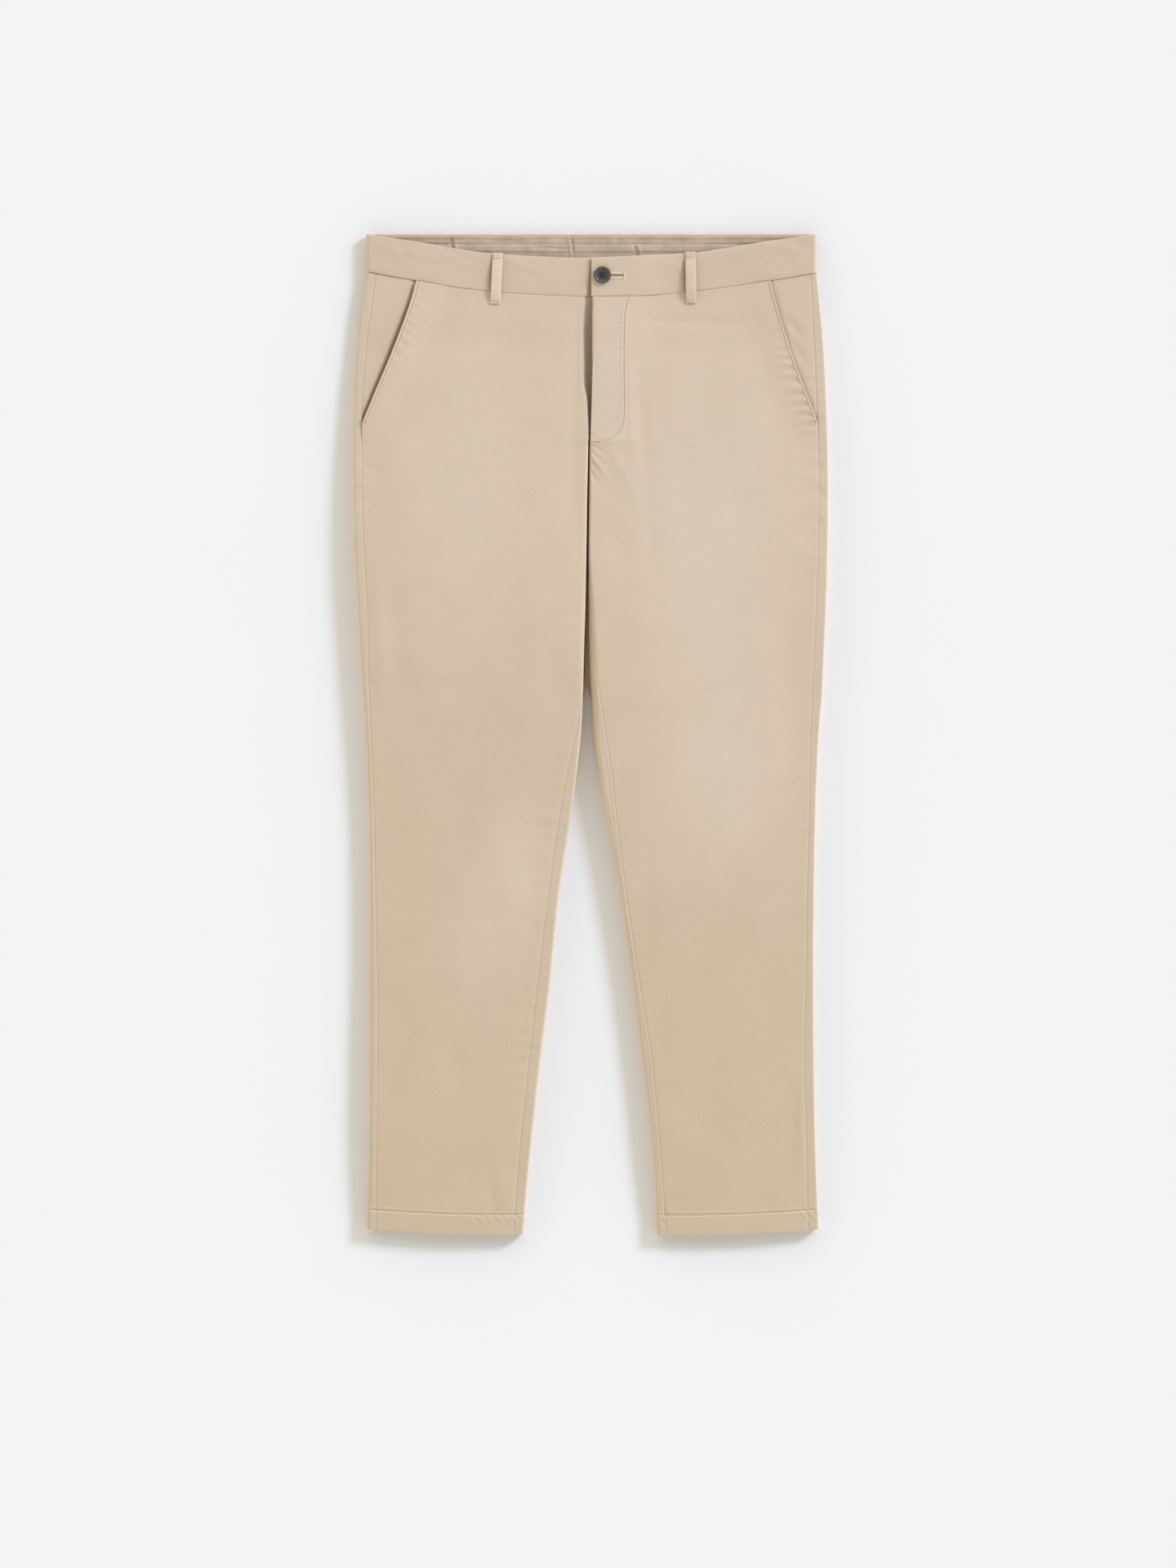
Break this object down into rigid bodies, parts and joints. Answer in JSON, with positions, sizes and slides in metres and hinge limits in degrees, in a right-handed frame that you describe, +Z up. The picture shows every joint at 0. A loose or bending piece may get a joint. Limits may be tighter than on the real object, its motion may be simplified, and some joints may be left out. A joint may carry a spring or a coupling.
{
  "type": "chino trousers",
  "caption": "Slim chino trousers laid out flat face up, with a buttoned waistband, fly, slant pockets, belt loops and tapered legs with plain hems.",
  "frame": {"origin": "middle of the outline's width and length, on the surface that the trousers lie on", "axes": "+X to the wearer's left, +Y from the hems to the waist, +Z up from the surface, out of the front of the trousers"},
  "size_m": [0.5, 1.053, 0.013],
  "materials": {
    "twill": "sand-coloured cotton twill, matt with a faint sheen",
    "lining": "taupe waistband tape with woven stripes, matt",
    "button": "dark charcoal resin, satin"
  },
  "bodies": {
    "root": {"front_right": "twill", "front_left": "twill", "back_right": "twill", "back_left": "twill", "pocket_facing_right": "twill", "pocket_facing_left": "twill", "waistband_right": "twill", "waistband_left": "twill", "waistband_lining_right": "lining", "waistband_lining_left": "lining", "belt_loop_front_right": "twill", "belt_loop_front_left": "twill", "belt_loop_back_right": "twill", "belt_loop_back_centre": "twill", "belt_loop_back_left": "twill", "button": "button"}
  },
  "joints": []
}
